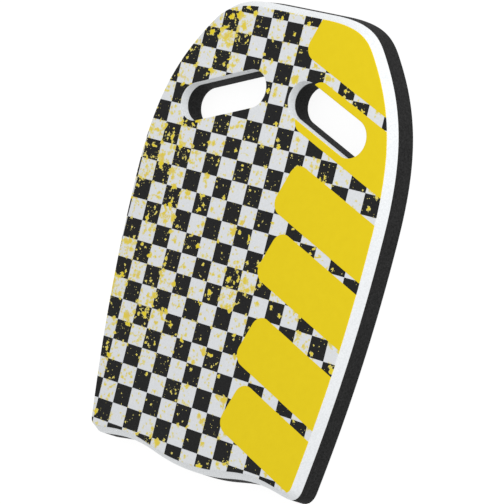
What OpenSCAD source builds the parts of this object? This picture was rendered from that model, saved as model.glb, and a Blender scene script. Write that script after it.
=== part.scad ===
// Kickboard float: a bevelled white foam deck laminated to a dark foam core,
// with two slanted grip slots and a printed film on the deck face.
// The board lies on its back: +Z is up through the printed face, +Y points to the nose,
// +X is the board's right seen from above with the nose away. The origin is the centre of the
// outer box at the back face. Lengths are millimetres and angles degrees.

/* [Board] */
// Width of the back face across the widest part
board_w = 292; // [270:1:310]
// Length of the deck from nose to tail
deck_l = 420; // [400:1:440]
// How far the widest part lies ahead of the middle
widest_y = 37; // [20:1:60]
// How far the core's back face reaches past its front face at the nose and tail
end_draft = 2.6; // [0:0.2:5]
// The same along the sides
side_draft = 1.9; // [0:0.1:4]

/* [Nose] */
// Length of the straight front edge of the deck face
nose_flat = 70; // [50:1:90]
// Half width of the deck face at the nose corner
nose_corner_x = 94; // [88:1:100]
// Distance of the nose corner behind the front edge
nose_corner_drop = 22; // [18:1:28]
// Angle of the outline at the nose corner, from straight across
nose_corner_angle = 52; // [46:1:58]

/* [Tail] */
// Width of the deck face where the tail corners begin
tail_face_w = 242.5; // [225:1:255]
// Inward slope of the sides at the tail
tail_slope = 8.8; // [4:0.2:12]
// Rounding of the two tail corners of the deck face
tail_corner = 6; // [4:0.5:12]
// Distance between the two shallow hollows of the tail edge
hollow_gap = 156; // [140:1:170]
// How far the middle of the tail reaches past the hollows
tail_belly = 9; // [4:0.2:16]
// How far the tail corners reach past the hollows
tail_lobe = 3.6; // [1:0.2:8]

/* [Layers] */
// Thickness of the dark foam core
core_t = 19.3; // [12:0.1:30]
// Thickness of the adhesive film between core and deck
bond_t = 0.2; // [0.1:0.05:0.5]
// Thickness of the white foam deck
deck_t = 10.2; // [6:0.1:15]
// Width of the deck's bevel at the nose and tail, seen from above
end_bevel = 6; // [3:0.5:8]
// Width of the deck's bevel along the sides, seen from above
side_bevel = 4.6; // [3:0.2:8]
// Thickness of the white print film on the deck face
film_t = 0.2; // [0.1:0.05:0.4]
// Thickness of the printed ink
ink_t = 0.1; // [0.05:0.05:0.2]

/* [Grip slots] */
// End-to-end length of a grip slot
slot_l = 99; // [85:1:110]
// Width of a grip slot
slot_w = 35; // [28:1:38]
// Slope of a grip slot, inner end towards the nose
slot_tilt = 20.5; // [10:0.5:30]
// Distance of a slot's centre from the centre line
slot_x = 61; // [55:1:66]
// Distance of a slot's centre ahead of the middle
slot_y = 120; // [105:1:128]

/* [Print] */
// Side of one check square
check = 18.5; // [14:0.5:24]
// Left edge of the square that lies just right of the left centre column
check_x = -7.8; // [-12:0.1:0]
// Near edge of the same square
check_y = -7.3; // [-12:0.1:0]
// Bare margin round each inked square, which keeps the squares separate
check_margin = 0.05; // [0.02:0.01:0.2]
// Distance of the yellow bars' inner ends from the centre line
bar_x = 32; // [20:1:60]
// Corner rounding of the yellow bars' inner ends
bar_r = 12; // [4:1:20]

/* [Hidden] */
$fn = 64;

// Heights of the layers above the back face
bond_z = core_t;
deck_z = bond_z + bond_t;
film_z = deck_z + deck_t;
ink_z = film_z + film_t;

// Half sizes of the flat deck face
face_x = board_w / 2 - side_draft - side_bevel;
face_y = deck_l / 2 - end_bevel;
// Where the nose corner, the tail's hollows and the tail corners lie
nose_corner_y = face_y - nose_corner_drop;
hollow_x = hollow_gap / 2;
hollow_y = -face_y + tail_belly;
lobe_y = hollow_y - tail_lobe;
lobe_x = tail_face_w / 2 - tail_corner;

// Squares counted from the first one to each side
check_span = 12;

// The yellow bars, each from its tail side to its nose side, measured at their inner ends
BARS = [[-166, -115], [-105, -54], [-30, 21], [31, 82], [105, 157], [167, 250]];

// A point on the cubic curve from a to d with the handles b and c
function curve_point(a, b, c, d, t) =
    pow(1 - t, 3) * a + 3 * pow(1 - t, 2) * t * b + 3 * (1 - t) * t * t * c + pow(t, 3) * d;
// The curve in n steps, without its last point
function curve(a, b, c, d, n) = [for (i = [0 : n - 1]) curve_point(a, b, c, d, i / n)];
// The direction at this angle from straight back, turned towards the board's right
function heading(angle) = [sin(angle), -cos(angle)];

// How far each curve of the outline keeps the heading of its start and of its end
nose_keep = [38, 16];
shoulder_keep = [50, 68];
side_keep = [80, 80];
corner_keep = [0.6 * tail_corner, 0.5 * tail_corner];
lobe_keep = [10, 18];
belly_keep = [30, 40];

// Right half of the deck face, from the nose to the tail
nose_start = [nose_flat / 2, face_y];
nose_corner = [nose_corner_x, nose_corner_y];
nose_way = heading(90 - nose_corner_angle);
widest = [face_x, widest_y];
side_end = [tail_face_w / 2, lobe_y + tail_corner];
side_way = heading(-tail_slope);
lobe = [lobe_x, lobe_y];
hollow = [hollow_x, hollow_y];
belly = [0, -face_y];
across = [1, 0];
ahead = [0, 1];
RIGHT_HALF = concat(
    curve(nose_start, nose_start + nose_keep[0] * across,
        nose_corner - nose_keep[1] * nose_way, nose_corner, 12),
    curve(nose_corner, nose_corner + shoulder_keep[0] * nose_way,
        widest + shoulder_keep[1] * ahead, widest, 18),
    curve(widest, widest - side_keep[0] * ahead,
        side_end - side_keep[1] * side_way, side_end, 14),
    curve(side_end, side_end + corner_keep[0] * side_way,
        lobe + corner_keep[1] * across, lobe, 6),
    curve(lobe, lobe - lobe_keep[0] * across,
        hollow + lobe_keep[1] * across, hollow, 6),
    curve(hollow, hollow - belly_keep[0] * across,
        belly + belly_keep[1] * across, belly, 12)
);
// The whole face, clockwise from the nose, the left half mirrored and reversed
count = len(RIGHT_HALF);
LEFT_HALF = [for (i = [count - 1 : -1 : 0]) [-RIGHT_HALF[i][0], RIGHT_HALF[i][1]]];
FACE = concat(RIGHT_HALF, [belly], LEFT_HALF);
total = len(FACE);

// Unit normal that points out of the face at point i
function outward(i) =
    let (way = FACE[(i + 1) % total] - FACE[(i + total - 1) % total])
    [-way[1], way[0]] / norm(way);
// The face moved outward by one width at the sides and another at the ends
function widened(side, end) = [for (i = [0 : total - 1])
    let (out = outward(i))
    FACE[i] + (side * out[0] * out[0] + end * out[1] * out[1]) * out];
// The seam between core and deck, and the core's back outline
EDGE = widened(side_bevel, end_bevel);
BACK = widened(side_bevel + side_draft, end_bevel + end_draft);

// The plain middle of a foam sheet, well clear of its shaped rim
middle_share = 0.94;
MIDDLE = [for (p = FACE) middle_share * p];

// The rim of a sheet: a closed ring from the middle out to one outline below and another above
module rim(low, high, z, t) {
    rings = [[MIDDLE, z], [low, z], [high, z + t], [MIDDLE, z + t]];
    polyhedron(
        points = [for (r = rings, p = r[0]) [p[0], p[1], r[1]]],
        faces = [for (k = [0 : 3], i = [0 : total - 1])
            let (next = (k + 1) % 4, j = (i + 1) % total)
            [k * total + i, k * total + j, next * total + j, next * total + i]]
    );
}

// A flat layer of the given outline, with the slots open
module face_layer(outline, z, t) {
    translate([0, 0, z]) linear_extrude(t) difference() {
        polygon(outline);
        both_slots();
    }
}

// A foam sheet with the slots open and sides that slope from the low outline to the high one
module foam_sheet(low, high, z, t) {
    face_layer(MIDDLE, z, t);
    rim(low, high, z, t);
}

// One right-hand grip slot's outline
module slot_shape() {
    reach = (slot_l - slot_w) / 2;
    translate([slot_x, slot_y]) rotate(-slot_tilt) {
        square([2 * reach, slot_w], center = true);
        translate([-reach, 0]) circle(d = slot_w);
        translate([reach, 0]) circle(d = slot_w);
    }
}

module both_slots() {
    slot_shape();
    mirror([1, 0]) slot_shape();
}

// A bar parallel to the right-hand grip slot, which runs off the board's right edge
module bar_shape(low, high) {
    half = (high - low) / 2 * cos(slot_tilt);
    reach = half - bar_r;
    translate([bar_x, (low + high) / 2]) rotate(-slot_tilt) {
        translate([bar_r, -half]) square([board_w, 2 * half]);
        translate([0, -reach]) square([bar_r, 2 * reach]);
        for (y = [-reach, reach]) translate([bar_r, y]) circle(bar_r);
    }
}

module bars_shape() {
    for (b = BARS) bar_shape(b[0], b[1]);
}

module checks_shape() {
    side = check - 2 * check_margin;
    for (i = [-check_span : check_span], j = [-check_span : check_span])
        if ((i + j) % 2 == 0)
            translate([check_x + i * check + check_margin, check_y + j * check + check_margin])
                square(side);
}

module core_foam() {
    color("#2b2c2e") foam_sheet(BACK, EDGE, 0, core_t);
}

module bond_film() {
    color("#d8d4c4") face_layer(EDGE, bond_z, bond_t);
}

module deck_foam() {
    color("#f3f5f8") foam_sheet(EDGE, FACE, deck_z, deck_t);
}

module print_film() {
    color("#e2e4e8") face_layer(FACE, film_z, film_t);
}

module check_ink() {
    color("#262728") translate([0, 0, ink_z]) linear_extrude(ink_t) difference() {
        intersection() {
            checks_shape();
            polygon(FACE);
        }
        both_slots();
        bars_shape();
    }
}

module graphic_ink() {
    color("#e6cd20") translate([0, 0, ink_z]) linear_extrude(ink_t) difference() {
        intersection() {
            bars_shape();
            polygon(FACE);
        }
        both_slots();
    }
}

core_foam();
bond_film();
deck_foam();
print_film();
check_ink();
graphic_ink();
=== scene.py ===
"""Kickboard float: the looks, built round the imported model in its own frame.

Metres, +Z out of the printed face, +Y to the nose, +X to the board's right.
"""

import math

import bmesh
import bpy
import numpy as np
from mathutils import Matrix, Vector
from mathutils.geometry import delaunay_2d_cdt


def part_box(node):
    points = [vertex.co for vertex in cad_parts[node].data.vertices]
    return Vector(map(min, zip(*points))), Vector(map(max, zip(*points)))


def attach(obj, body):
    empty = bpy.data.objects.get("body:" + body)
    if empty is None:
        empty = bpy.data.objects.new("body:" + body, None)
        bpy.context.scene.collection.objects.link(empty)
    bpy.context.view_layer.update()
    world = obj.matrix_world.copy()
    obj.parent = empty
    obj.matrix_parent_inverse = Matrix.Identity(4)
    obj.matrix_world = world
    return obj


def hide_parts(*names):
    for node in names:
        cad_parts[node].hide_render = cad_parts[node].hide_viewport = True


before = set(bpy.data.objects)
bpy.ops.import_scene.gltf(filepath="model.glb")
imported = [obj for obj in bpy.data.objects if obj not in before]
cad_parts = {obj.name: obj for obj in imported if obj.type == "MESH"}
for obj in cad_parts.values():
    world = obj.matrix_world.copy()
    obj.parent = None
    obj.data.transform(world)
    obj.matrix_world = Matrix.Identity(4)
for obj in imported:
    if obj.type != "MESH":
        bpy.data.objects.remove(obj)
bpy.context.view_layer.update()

MM = 0.001

# Camera: where it stands, as angles round the board, and how the picture is turned
VIEW_AZIMUTH = 93.54  # degrees: 0 looks along +Y and 90 along -X
VIEW_ELEVATION = 50.30
VIEW_ROLL = 78.74  # how far the picture's up leans clockwise from the floor's up
VIEW_AIM = Vector((0.0036, -0.0087, 0.015))
VIEW_DISTANCE = 2.337
VIEW_LENS = 188.85  # millimetres, on a 36 mm sensor

# Light: an even white studio and one large soft box beyond the board's right shoulder
STUDIO_LIGHT = 0.72
KEY_DIRECTION = Vector((0.64, 0.64, 0.43))
KEY_DISTANCE = 1.4
KEY_SIZE = 1.2
KEY_POWER = 7.7
FLOOR_GLOW = 0.90
FLOOR_ALBEDO = 0.2
FLOOR_SIZE = 30
FLOOR_DROP = 0.2 * MM  # how far the floor lies below the board's back

# The edges: a pressed lip round the print, and a rounded edge round the back
LIP_WIDTH = 0.9 * MM
LIP_DROP = 0.3 * MM
LIP_RINGS = [share * LIP_WIDTH for share in (0, 0.28, 0.6, 1, 1.45)]
BACK_ROUND = 1.1 * MM
BACK_STEPS = 5
OUTLINE_STEP = 2.5 * MM
SLOT_STEP = 1.5 * MM
SHARP_ANGLE = math.radians(30)

# Reading the CAD nodes: how closely points, check squares and heights have to agree
WELD_PLACES = 7  # decimals of a metre
GRID_PLACES = 5  # decimals of a metre
LEVEL = 0.001 * MM

# Cutting up the printed face
GRID_MARGIN = MM  # how far the check lines run past the print
NEAR_BORDER = 0.2 * MM  # a point of a bar's outline this close to the border lies on it
BORDER_REACH = 0.4 * MM  # how far a bar's sides are drawn past the border, to cut it cleanly
SMALLEST_TRIANGLE = 1e-7 * MM**2
CUT_ACCURACY = 1e-4  # millimetres
BLOCK = 1500  # points handled at a time, to keep the arrays small


def heights(node):
    """Lowest and highest z of a CAD node."""
    low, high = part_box(node)
    return low.z, high.z


CORE_LOW, CORE_HIGH = heights("core_foam")
BOND_LOW, BOND_HIGH = heights("bond_film")
DECK_LOW, DECK_HIGH = heights("deck_foam")
FILM_LOW, FILM_HIGH = heights("print_film")
INK_LOW, INK_HIGH = heights("check_ink")

# How far the seam and the back reach past the printed face, at the sides and at the ends
FACE, SEAM, BACK = (
    np.array(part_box(node)[1][:2]) for node in ("print_film", "bond_film", "core_foam")
)
SEAM_REACH, BACK_REACH = SEAM - FACE, BACK - FACE


# ---------------------------------------------------------------- camera, floor and light


def make_camera():
    azimuth, elevation = math.radians(VIEW_AZIMUTH), math.radians(VIEW_ELEVATION)
    level = math.cos(elevation)
    back = Vector((math.sin(azimuth) * level, -math.cos(azimuth) * level, math.sin(elevation)))
    right = Vector((math.cos(azimuth), math.sin(azimuth), 0))
    roll = Matrix.Rotation(-math.radians(VIEW_ROLL), 3, back)
    axes = Matrix((roll @ right, roll @ back.cross(right), back)).transposed()
    camera = bpy.data.objects.new("camera", bpy.data.cameras.new("camera"))
    camera.data.lens = VIEW_LENS
    camera.matrix_world = Matrix.Translation(VIEW_AIM + VIEW_DISTANCE * back) @ axes.to_4x4()
    bpy.context.scene.collection.objects.link(camera)
    bpy.context.scene.camera = camera


def make_light():
    scene = bpy.context.scene
    scene.view_settings.view_transform = "Standard"
    world = bpy.data.worlds.new("studio")
    world.use_nodes = True
    sky = world.node_tree.nodes["Background"]
    sky.inputs["Color"].default_value = (1, 1, 1, 1)
    sky.inputs["Strength"].default_value = STUDIO_LIGHT
    scene.world = world

    box = bpy.data.lights.new("soft_box", "AREA")
    box.shape = "DISK"
    box.size = KEY_SIZE
    box.energy = KEY_POWER
    lamp = bpy.data.objects.new("soft_box", box)
    way = KEY_DIRECTION.normalized()
    lamp.matrix_world = (
        Matrix.Translation(KEY_DISTANCE * way) @ way.to_track_quat("Z", "Y").to_matrix().to_4x4()
    )
    scene.collection.objects.link(lamp)


def make_floor():
    material = bpy.data.materials.new("floor")
    material.use_nodes = True
    paint = material.node_tree.nodes["Principled BSDF"]
    paint.inputs["Base Color"].default_value = (FLOOR_ALBEDO, FLOOR_ALBEDO, FLOOR_ALBEDO, 1)
    paint.inputs["Roughness"].default_value = 1
    paint.inputs["Specular IOR Level"].default_value = 0
    paint.inputs["Emission Color"].default_value = (1, 1, 1, 1)
    paint.inputs["Emission Strength"].default_value = FLOOR_GLOW
    half = FLOOR_SIZE / 2
    mesh = bpy.data.meshes.new("floor")
    corners = [(-half, -half), (half, -half), (half, half), (-half, half)]
    mesh.from_pydata([(x, y, CORE_LOW - FLOOR_DROP) for x, y in corners], [], [(0, 1, 2, 3)])
    mesh.materials.append(material)
    floor = bpy.data.objects.new("floor", mesh)
    bpy.context.scene.collection.objects.link(floor)


# ---------------------------------------------------------------- outlines from the CAD nodes


def top_loops(node):
    """The border loops of a CAD node's top face, with its material on their left."""
    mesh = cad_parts[node].data
    places = np.round([v.co[:] for v in mesh.vertices], WELD_PLACES)
    points, welded = np.unique(places, axis=0, return_inverse=True)
    welded = welded.reshape(-1)
    top = points[:, 2].max() - LEVEL
    sides = set()
    for face in mesh.polygons:
        ids = [int(welded[i]) for i in face.vertices]
        if points[ids, 2].min() > top:
            sides.update(zip(ids, ids[1:] + ids[:1]))
    after = {a: b for a, b in sides if (b, a) not in sides}
    loops = []
    while after:
        loop = [min(after)]
        while loop[-1] in after:
            loop.append(after.pop(loop[-1]))
        loops.append(points[loop[:-1], :2])
    return loops


def signed_area(loop):
    """Area of a loop, below 0 for a hole's."""
    x, y = loop.T
    return 0.5 * float(np.sum(x * np.roll(y, -1) - np.roll(x, -1) * y))


class Outline:
    """A closed curve through a loop's corners, which keeps the long sides straight."""

    LONG = 4  # a side this many times longer than its neighbour is a straight one

    def __init__(self, loop, step):
        side = np.roll(loop, -1, 0) - loop
        length = np.linalg.norm(side, axis=1)[:, None]
        way = side / length
        length_before, way_before = np.roll(length, 1, 0), np.roll(way, 1, 0)
        tangent = (way_before * length + way * length_before) / (length + length_before)
        tangent = np.where(length > self.LONG * length_before, way, tangent)
        tangent = np.where(length_before > self.LONG * length, way_before, tangent)
        tangent /= np.linalg.norm(tangent, axis=1)[:, None]
        points, ways = [], []
        for i in range(len(loop)):
            j = (i + 1) % len(loop)
            count = math.ceil(length[i, 0] / step)
            t = np.arange(count)[:, None] / count
            a, b = loop[i], loop[j]
            u, v = tangent[i] * length[i], tangent[j] * length[i]
            points.append(
                (2 * t**3 - 3 * t**2 + 1) * a + (t**3 - 2 * t**2 + t) * u
                + (3 * t**2 - 2 * t**3) * b + (t**3 - t**2) * v
            )
            ways.append(
                (6 * t**2 - 6 * t) * (a - b) + (3 * t**2 - 4 * t + 1) * u
                + (3 * t**2 - 2 * t) * v
            )
        self.points = np.concatenate(points)
        ways = np.concatenate(ways)
        ways /= np.linalg.norm(ways, axis=1)[:, None]
        self.out = np.stack([ways[:, 1], -ways[:, 0]], axis=1)

    def moved(self, outward):
        """The curve moved outward: by one distance, or by one at the sides and one at the ends."""
        return self.points + (self.out**2 * outward).sum(1)[:, None] * self.out


def board_outlines():
    """The printed face's outer outline, then the outlines of its two grip slots."""
    loops = sorted(top_loops("print_film"), key=signed_area, reverse=True)
    return [Outline(loops[0], OUTLINE_STEP)] + [Outline(loop, SLOT_STEP) for loop in loops[1:]]


BOARD = board_outlines()


def blocks(count):
    """Slices that share out this many points."""
    return [slice(start, start + BLOCK) for start in range(0, count, BLOCK)]


def inside(points, loops):
    """Whether each point lies inside an odd number of the loops."""
    found = np.zeros(len(points), bool)
    starts = np.concatenate(loops)
    ends = np.concatenate([np.roll(loop, -1, 0) for loop in loops])
    for part in blocks(len(points)):
        x, y = points[part, 0:1], points[part, 1:2]
        spans = (starts[:, 1] > y) != (ends[:, 1] > y)
        rise = np.where(ends[:, 1] == starts[:, 1], 1, ends[:, 1] - starts[:, 1])
        crossing = starts[:, 0] + (y - starts[:, 1]) / rise * (ends[:, 0] - starts[:, 0])
        found[part] = (spans & (x < crossing)).sum(1) % 2 == 1
    return found


def to_border(points):
    """Distance of each point from the nearest board outline, and the way out there."""
    starts = np.concatenate([o.points for o in BOARD])
    ends = np.concatenate([np.roll(o.points, -1, 0) for o in BOARD])
    outs = np.concatenate([o.out for o in BOARD])
    side = ends - starts
    gaps, ways = np.empty(len(points)), np.empty((len(points), 2))
    for part in blocks(len(points)):
        to = points[part, None] - starts
        share = np.clip((to * side).sum(2) / (side**2).sum(1), 0, 1)
        away = np.linalg.norm(to - share[..., None] * side, axis=2)
        nearest = away.argmin(1)
        gaps[part] = away[np.arange(len(nearest)), nearest]
        ways[part] = outs[nearest]
    return gaps, ways


def lip(gap):
    """Height of the face's pressed lip at a distance from its border."""
    return -LIP_DROP * np.clip(1 - gap / LIP_WIDTH, 0, 1) ** 2


# ---------------------------------------------------------------- meshes


def new_piece(name, mesh, material, node):
    """Adds a finished mesh as the piece that stands for a CAD node and has its material slot."""
    mesh.materials.append(material)
    mesh.shade_smooth()
    mesh.set_sharp_from_angle(angle=SHARP_ANGLE)
    piece = bpy.data.objects.new(name, mesh)
    bpy.context.scene.collection.objects.link(piece)
    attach(piece, "root")
    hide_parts(node)
    return piece


def layer_mesh(name, profiles):
    """A closed layer of the board. profiles[k] follows outline k from the bottom cap to the
    top cap, as steps of (distance outward, height)."""
    work = bmesh.new()
    caps = {-1: [], 1: []}
    for outline, profile in zip(BOARD, profiles):
        rings = [
            [work.verts.new((x, y, z)) for x, y in outline.moved(outward)] for outward, z in profile
        ]
        for low, high in zip(rings, rings[1:]):
            for i in range(len(low)):
                j = (i + 1) % len(low)
                work.faces.new((low[i], low[j], high[j], high[i]))
        for way, ring in ((-1, rings[0]), (1, rings[-1])):
            caps[way] += [work.edges.get((a, b)) for a, b in zip(ring, ring[1:] + ring[:1])]
    for way, border in caps.items():
        bmesh.ops.triangle_fill(work, edges=border, normal=(0, 0, way), use_beauty=True)
    bmesh.ops.recalc_face_normals(work, faces=work.faces)
    mesh = bpy.data.meshes.new(name)
    work.to_mesh(mesh)
    work.free()
    return mesh


def rounded_back():
    """Inset and height of the rounded edge between the back face and a wall."""
    turns = [i / BACK_STEPS * math.pi / 2 for i in range(BACK_STEPS + 1)]
    return [(-BACK_ROUND * (1 - math.sin(a)), BACK_ROUND * (1 - math.cos(a))) for a in turns]


def core_mesh():
    def wall(z):
        """How far the sloping outer wall stands past the printed face."""
        share = (z - CORE_LOW) / (CORE_HIGH - CORE_LOW)
        return BACK_REACH + share * (SEAM_REACH - BACK_REACH)

    slot = [(inset, CORE_LOW + z) for inset, z in rounded_back()] + [(0, CORE_HIGH)]
    outer = [(wall(z) + inset, z) for inset, z in slot]
    return layer_mesh("core_foam_sheet", [outer, slot, slot])


def bond_mesh():
    outer = [(SEAM_REACH, BOND_LOW), (SEAM_REACH, BOND_HIGH)]
    slot = [(0, BOND_LOW), (0, BOND_HIGH)]
    return layer_mesh("bond_line", [outer, slot, slot])


def deck_mesh():
    top = [(-gap, DECK_HIGH + float(lip(gap))) for gap in LIP_RINGS]
    outer = [(SEAM_REACH, DECK_LOW)] + top
    slot = [(0, DECK_LOW)] + top
    return layer_mesh("deck_foam_sheet", [outer, slot, slot])


def shell_mesh(name, points, triangles, low, high):
    """A closed shell over the triangles, between the heights low and high above each point."""
    used = np.unique(triangles)
    place = {int(p): i for i, p in enumerate(used)}
    count = len(used)
    flat = points[used]
    verts = [(x, y, z) for z_list in (low, high) for (x, y), z in zip(flat, z_list[used])]
    faces, sides = [], set()
    for a, b, c in triangles:
        a, b, c = place[int(a)], place[int(b)], place[int(c)]
        faces += [(a + count, b + count, c + count), (c, b, a)]
        sides.update(((a, b), (b, c), (c, a)))
    faces += [(a, b, b + count, a + count) for a, b in sorted(sides) if (b, a) not in sides]
    mesh = bpy.data.meshes.new(name)
    mesh.from_pydata(verts, [], faces)
    return mesh


# ---------------------------------------------------------------- the print's layout


def check_grid(loops):
    """Corner, side and pitch of the check squares, from the whole squares among the loops."""
    whole = [loop for loop in loops if len(loop) == 4]
    side = max(min(np.ptp(loop, axis=0)) for loop in whole)
    whole = [loop for loop in whole if min(np.ptp(loop, axis=0)) > side - 10**-GRID_PLACES]
    corners = np.array([loop.min(0) for loop in whole])
    steps = np.diff(np.unique(np.round(corners[:, 0], GRID_PLACES)))
    return corners[0], side, float(steps[steps > side / 2].min())


def print_lines(corner, side, pitch, bars):
    """The lines that cut up the printed face, as points and the edges between them: the rings
    of the lip, the sides of the check squares and the sides of the bars."""
    points, edges = [], []

    def add_line(line, closed):
        first = len(points)
        points.extend(line)
        last = len(points) - 1
        edges.extend((i, i + 1) for i in range(first, last))
        if closed:
            edges.append((last, first))

    for outline in BOARD:
        for gap in LIP_RINGS:
            add_line(outline.moved(-gap), True)

    low, high = (np.array(p[:2]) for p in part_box("print_film"))
    low, high = low - GRID_MARGIN, high + GRID_MARGIN
    for axis in (0, 1):
        first = math.floor((low[axis] - corner[axis]) / pitch)
        last = math.ceil((high[axis] - corner[axis]) / pitch)
        for k in range(first, last + 1):
            for at in (corner[axis] + k * pitch, corner[axis] + k * pitch + side):
                ends = np.array([low, high])
                ends[:, axis] = at
                add_line(ends, False)

    for loop in bars:
        for a, b in zip(loop, np.roll(loop, -1, 0)):
            near = to_border(np.array([a, (a + b) / 2, b]))[0] < NEAR_BORDER
            if near.all():
                continue
            past = (b - a) / np.linalg.norm(b - a) * BORDER_REACH
            add_line([a - past * near[0], b + past * near[2]], False)
    return points, edges


def print_layout():
    """Points and triangles of the printed face, and which triangles are black and yellow."""
    corner, side, pitch = check_grid(top_loops("check_ink"))
    bars = top_loops("graphic_ink")
    points, edges = print_lines(corner, side, pitch, bars)
    made = delaunay_2d_cdt([Vector(p / MM) for p in points], edges, [], 0, CUT_ACCURACY)
    points = np.array([v[:] for v in made[0]]) * MM
    triangles = np.array(made[2])

    corners = points[triangles]
    u, v = corners[:, 1] - corners[:, 0], corners[:, 2] - corners[:, 0]
    area = (u[:, 0] * v[:, 1] - u[:, 1] * v[:, 0]) / 2
    triangles[area < 0] = triangles[area < 0, ::-1]
    middles = corners.mean(1)
    kept = inside(middles, [o.points for o in BOARD]) & (abs(area) > SMALLEST_TRIANGLE)
    triangles, middles = triangles[kept], middles[kept]

    # A bar's outline can fall just short of the smooth border, so yellow is looked up further in
    gaps, ways = to_border(middles)
    probes = middles - ways * BORDER_REACH * (gaps < BORDER_REACH)[:, None]
    yellow = inside(probes, bars)
    cells = (middles - corner) / pitch
    even = np.floor(cells).sum(1) % 2 == 0
    black = ~yellow & even & (cells % 1 < side / pitch).all(1)
    return points, triangles, black, yellow


# ---------------------------------------------------------------- materials


class Graph:
    """A material's node tree, with short calls for the nodes used here. Coordinates are the
    board's own, in millimetres."""

    def __init__(self, name):
        self.material = bpy.data.materials.new(name)
        self.material.use_nodes = True
        self.tree = self.material.node_tree
        self.shader = self.tree.nodes["Principled BSDF"]
        place = self.node("TexCoord", {}).outputs["Object"]
        self.mm = self.vector("SCALE", place, 1 / MM)
        self.flat = self.vector("MULTIPLY", self.mm, (1, 1, 0))

    def node(self, kind, inputs, **settings):
        made = self.tree.nodes.new("ShaderNode" + kind)
        for key, value in settings.items():
            setattr(made, key, value)
        for key, value in inputs.items():
            if isinstance(value, bpy.types.NodeSocket):
                self.tree.links.new(value, made.inputs[key])
            else:
                made.inputs[key].default_value = value
        return made

    def math(self, operation, a, b, c=0.0):
        return self.node("Math", {0: a, 1: b, 2: c}, operation=operation).outputs[0]

    def vector(self, operation, a, b):
        """Vector arithmetic. For SCALE, b is a number; for DISTANCE, the result is one."""
        second = "Scale" if operation == "SCALE" else 1
        made = self.node("VectorMath", {0: a, second: b}, operation=operation)
        return made.outputs["Value" if operation == "DISTANCE" else "Vector"]

    def ramp(self, value, low, high, start=0.0, end=1.0):
        """Goes from start to end as value goes from low to high, and stays level past them."""
        inputs = {0: value, 1: low, 2: high, 3: start, 4: end}
        return self.node("MapRange", inputs).outputs[0]

    def mix(self, share, a, b):
        """Blends two colours. Sockets 6, 7 and 2 are the node's colour ones."""
        a, b = ((*c, 1.0) if isinstance(c, tuple) else c for c in (a, b))
        return self.node("Mix", {0: share, 6: a, 7: b}, data_type="RGBA").outputs[2]

    def noise(self, size, detail=2.0, roughness=0.5, vector=None):
        """Cloudy noise from 0 to 1, whose blobs are about size millimetres across."""
        inputs = {"Scale": 1 / size, "Detail": detail, "Roughness": roughness}
        return self.node("TexNoise", {"Vector": vector or self.mm, **inputs}).outputs[0]

    def mottle(self, size, a, b):
        """Blends two colours in soft patches about size millimetres across."""
        cloud = self.noise(size, detail=3, roughness=0.7)
        return self.mix(self.ramp(cloud, 0.35, 0.65), a, b)

    def grain(self, height, depth, normal=None):
        """A bump of this depth in millimetres."""
        inputs = {"Height": height, "Distance": depth * MM}
        if normal:
            inputs["Normal"] = normal
        return self.node("Bump", inputs).outputs[0]

    def finish(self, color, roughness, specular, normal):
        """Sets the shader and gives the finished material."""
        self.tree.links.new(color, self.shader.inputs["Base Color"])
        self.tree.links.new(normal, self.shader.inputs["Normal"])
        self.shader.inputs["Roughness"].default_value = roughness
        self.shader.inputs["Specular IOR Level"].default_value = specular
        return self.material


# Sprayed paint: where it is thickest, as x, y and reach in millimetres and how much it adds
SPRAY_CLOUDS = [
    (-72, 176, 26, 0.9),
    (-100, 45, 34, 0.5),
    (-92, -90, 30, 0.6),
    (8, -40, 36, 0.8),
    (-30, -140, 20, 0.4),
    (-100, -175, 90, -0.5),
    (-40, 60, 60, 0.15),
]
# Drops: cell size and radius in millimetres, share of cells with a drop, and the cells' shift
SPRAY_DROPS = [
    (2.2, 0.5, 0.18, (29.0, 20.3, 0)),
    (3.4, 1.2, 0.06, (11.0, 7.7, 0)),
    (5.5, 2.1, 0.14, (47.0, 32.9, 0)),
    (9.0, 3.6, 0.14, (83.0, 58.1, 0)),
]
SMALLEST_DROP = 0.5  # as a share of the radius
DROP_RIPPLE = 1.3  # waves in a drop's uneven rim, in each radius
DROP_PUSH = 2.2  # how far the waves push the rim, in radii
BLOT_SLOPE = 20  # millimetres of depth for each unit of the blots' noise
RAGGED_RIM = 1.3  # how far the rims stray on the white film, in millimetres
CELL_BLUR = 0.6  # how much noise is mixed into the foam's cells


def grey(value):
    return (value, value, value)


# Colours, in linear red, green and blue
CORE_SHADES = grey(0.0075), grey(0.0215)
CORE_FLECK = grey(0.048)
BOND_SHADES = (0.34, 0.33, 0.30), (0.44, 0.43, 0.39)
DECK_SHADES = (0.75, 0.77, 0.785), (0.85, 0.87, 0.885)
DECK_PORE = (0.70, 0.72, 0.75)
FILM_SHADES = (0.77, 0.79, 0.81), (0.84, 0.86, 0.885)
INK_SHADES = (0.010, 0.010, 0.0105), grey(0.0175)
BAR_SHADES = (0.86, 0.65, 0.006), (0.92, 0.705, 0.009)
BAR_GRIT = (0.80, 0.60, 0.012)
# Paint on the white film and on the black ink, each from a fleck's rim to its middle
PAINT_ON_FILM = (0.83, 0.72, 0.15), (0.84, 0.65, 0.03)
PAINT_ON_INK = (0.82, 0.73, 0.24), (0.84, 0.67, 0.02)
# On the film: the mist round the flecks, and the duller patches in them
PAINT_MIST = (0.83, 0.70, 0.20)
PAINT_OCHRE = (0.80, 0.60, 0.14)


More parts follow.
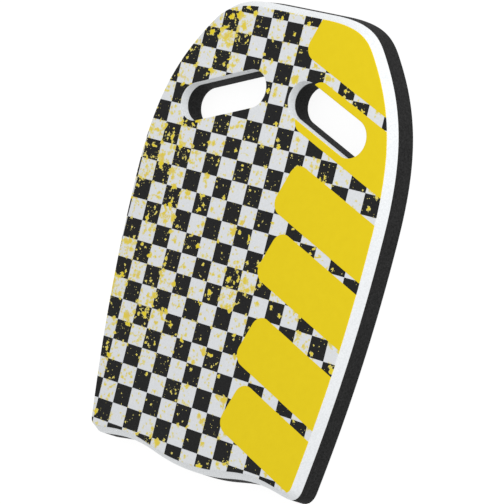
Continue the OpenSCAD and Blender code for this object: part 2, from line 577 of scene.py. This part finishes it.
def spray_density(graph):
    """How thickly the paint is sprayed: more to the left and in the clouds, in uneven patches."""
    across = graph.node("SeparateXYZ", {0: graph.mm}).outputs["X"]
    spread = graph.ramp(across, -110, -10, start=0.85, end=0.4)
    for x, y, reach, extra in SPRAY_CLOUDS:
        away = graph.vector("DISTANCE", graph.flat, (x, y, 0))
        spread = graph.math("ADD", spread, graph.ramp(away, 0, reach, start=extra, end=0))
    patches = graph.ramp(graph.noise(18, detail=1), 0.36, 0.64, start=0.35, end=1.65)
    return graph.math("MULTIPLY", spread, patches)


def drops(graph, density, cell, radius, share, shift):
    """How far inside a drop of one size each point is, in millimetres."""
    place = graph.vector("ADD", graph.flat, shift)
    ripple = graph.node("TexNoise", {"Vector": place, "Scale": DROP_RIPPLE / radius, "Detail": 2.0})
    push = graph.vector("SUBTRACT", ripple.outputs["Color"], (0.5, 0.5, 0.5))
    place = graph.vector("ADD", place, graph.vector("SCALE", push, DROP_PUSH * radius))
    spots = graph.node("TexVoronoi", {"Vector": place, "Scale": 1 / cell}, voronoi_dimensions="2D")
    chance, size, _ = graph.node("SeparateColor", {0: spots.outputs["Color"]}).outputs
    present = graph.math("LESS_THAN", chance, graph.math("MULTIPLY", density, share))
    reach = graph.ramp(size, 0, 1, start=cell + SMALLEST_DROP * radius, end=cell + radius)
    reach = graph.math("MULTIPLY_ADD", reach, present, -cell)
    away = graph.math("MULTIPLY", spots.outputs["Distance"], cell)
    return graph.math("SUBTRACT", reach, away)


def spray(graph):
    """How far inside a fleck of sprayed paint each point is, in millimetres: above 0 is paint."""
    density = spray_density(graph)
    blots = graph.noise(6.5, detail=3, roughness=0.52, vector=graph.flat)
    rim = graph.ramp(density, 0.1, 1.8, start=0.71, end=0.555)
    depth = graph.math("MULTIPLY", graph.math("SUBTRACT", blots, rim), BLOT_SLOPE)
    for size in SPRAY_DROPS:
        depth = graph.math("MAXIMUM", depth, drops(graph, density, *size))
    return depth


def print_normal(graph):
    """The fine leathery grain that the foam gives its print, over a slow unevenness."""
    slow = graph.grain(graph.noise(14, detail=1), depth=0.09)
    return graph.grain(graph.noise(0.8, detail=3, roughness=0.6), depth=0.035, normal=slow)


def foam_normal(graph, cell, depth):
    """Cut closed cells about this many millimetres across, over a soft unevenness."""
    soft = graph.grain(graph.noise(5), depth=0.05)
    cells = graph.node("TexVoronoi", {"Vector": graph.mm, "Scale": 1 / cell}).outputs["Distance"]
    cells = graph.math("MULTIPLY_ADD", graph.noise(0.5), CELL_BLUR, cells)
    return graph.grain(cells, depth, normal=soft)


def core_material():
    graph = Graph("dark_foam")
    flecks = graph.ramp(graph.noise(0.8, detail=1), 0.55, 0.75, end=0.6)
    tone = graph.mix(flecks, graph.mottle(2, *CORE_SHADES), CORE_FLECK)
    normal = foam_normal(graph, cell=0.55, depth=0.06)
    return graph.finish(tone, roughness=0.85, specular=0.12, normal=normal)


def bond_material():
    graph = Graph("bond")
    tone = graph.mix(graph.noise(2), *BOND_SHADES)
    normal = graph.grain(graph.noise(0.6), depth=0.02)
    return graph.finish(tone, roughness=0.5, specular=0.3, normal=normal)


def deck_material():
    graph = Graph("white_foam")
    pores = graph.ramp(graph.noise(0.6, detail=1), 0.58, 0.75, end=0.12)
    tone = graph.mix(pores, graph.mottle(1.6, *DECK_SHADES), DECK_PORE)
    normal = foam_normal(graph, cell=0.5, depth=0.05)
    return graph.finish(tone, roughness=0.8, specular=0.25, normal=normal)


def film_material():
    """White film, on which the flecks have soft, ragged rims."""
    graph = Graph("print_film")
    depth = spray(graph)
    specks = graph.math("SUBTRACT", graph.noise(0.9, roughness=0.7), 0.5)
    ragged = graph.math("MULTIPLY_ADD", specks, RAGGED_RIM, depth)
    paint = graph.ramp(ragged, -1.4, 0.05, end=0.95)
    mist = graph.ramp(depth, -1.6, -0.6, end=0.12)
    bare = graph.mix(mist, graph.mottle(2, *FILM_SHADES), PAINT_MIST)
    ochre = graph.ramp(graph.noise(5, detail=1), 0.52, 0.7, end=0.7)
    hue = graph.mix(ochre, graph.mix(graph.ramp(depth, 0.1, 1.0), *PAINT_ON_FILM), PAINT_OCHRE)
    tone = graph.mix(paint, bare, hue)
    return graph.finish(tone, roughness=0.55, specular=0.25, normal=print_normal(graph))


def check_material():
    """Black ink, on which the flecks have crisp rims."""
    graph = Graph("black_ink")
    depth = spray(graph)
    hue = graph.mix(graph.ramp(depth, 0.15, 1.1), *PAINT_ON_INK)
    tone = graph.mix(graph.ramp(depth, 0, 0.16), graph.mottle(2, *INK_SHADES), hue)
    return graph.finish(tone, roughness=0.5, specular=0.15, normal=print_normal(graph))


def bars_material():
    graph = Graph("yellow_ink")
    grit = graph.ramp(graph.noise(0.9), 0.5, 0.75, end=0.12)
    tone = graph.mix(graph.noise(7, detail=3, roughness=0.6), *BAR_SHADES)
    tone = graph.mix(grit, tone, BAR_GRIT)
    return graph.finish(tone, roughness=0.5, specular=0.15, normal=print_normal(graph))


# ---------------------------------------------------------------- the board


def build_foam():
    core = new_piece("core_foam_sheet", core_mesh(), core_material(), "core_foam")
    deck = new_piece("deck_foam_sheet", deck_mesh(), deck_material(), "deck_foam")
    new_piece("bond_line", bond_mesh(), bond_material(), "bond_film")


def build_print():
    points, triangles, black, yellow = print_layout()
    gaps, _ = to_border(points)
    rolled = lip(gaps)
    film, ink = (FILM_LOW + rolled, FILM_HIGH + rolled), (INK_LOW + rolled, INK_HIGH + rolled)
    everywhere = np.ones(len(triangles), bool)
    for name, where, levels, material, node in (
        ("white_print_film", everywhere, film, film_material(), "print_film"),
        ("black_checks", black, ink, check_material(), "check_ink"),
        ("yellow_bars", yellow, ink, bars_material(), "graphic_ink"),
    ):
        mesh = shell_mesh(name, points, triangles[where], *levels)
        new_piece(name, mesh, material, node)


make_camera()
make_light()
make_floor()
build_foam()
build_print()
